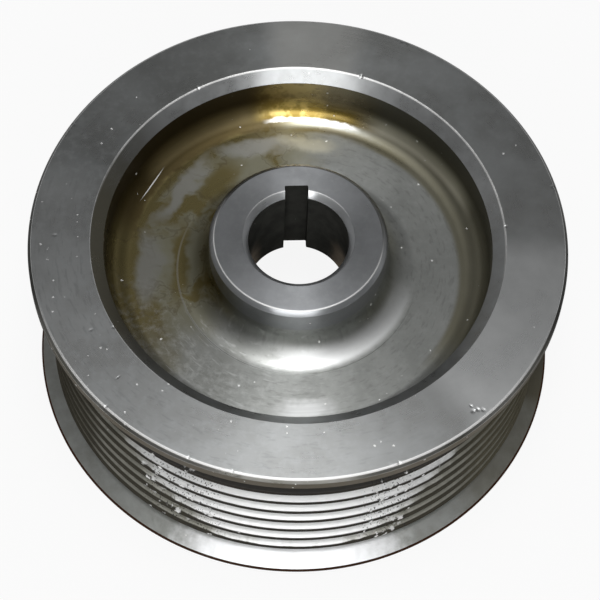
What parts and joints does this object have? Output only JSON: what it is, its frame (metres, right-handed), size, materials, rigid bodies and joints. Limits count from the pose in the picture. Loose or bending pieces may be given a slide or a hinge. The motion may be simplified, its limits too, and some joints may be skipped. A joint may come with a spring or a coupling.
{
  "type": "alternator pulley",
  "caption": "Flanged steel pulley with V grooves for a ribbed belt, a dished web and a hub with a keyed bore.",
  "frame": {"origin": "centre of the back face, on the bore's axis", "axes": "+Z along the bore's axis towards the front face, where the shaft nut sits; +Y through the middle of the keyway"},
  "size_m": [0.091, 0.091, 0.036],
  "materials": {
    "turned_steel": "satin turned steel with a thin brown film of old oil in the recess"
  },
  "bodies": {
    "root": {"pulley": "turned_steel"}
  },
  "joints": []
}
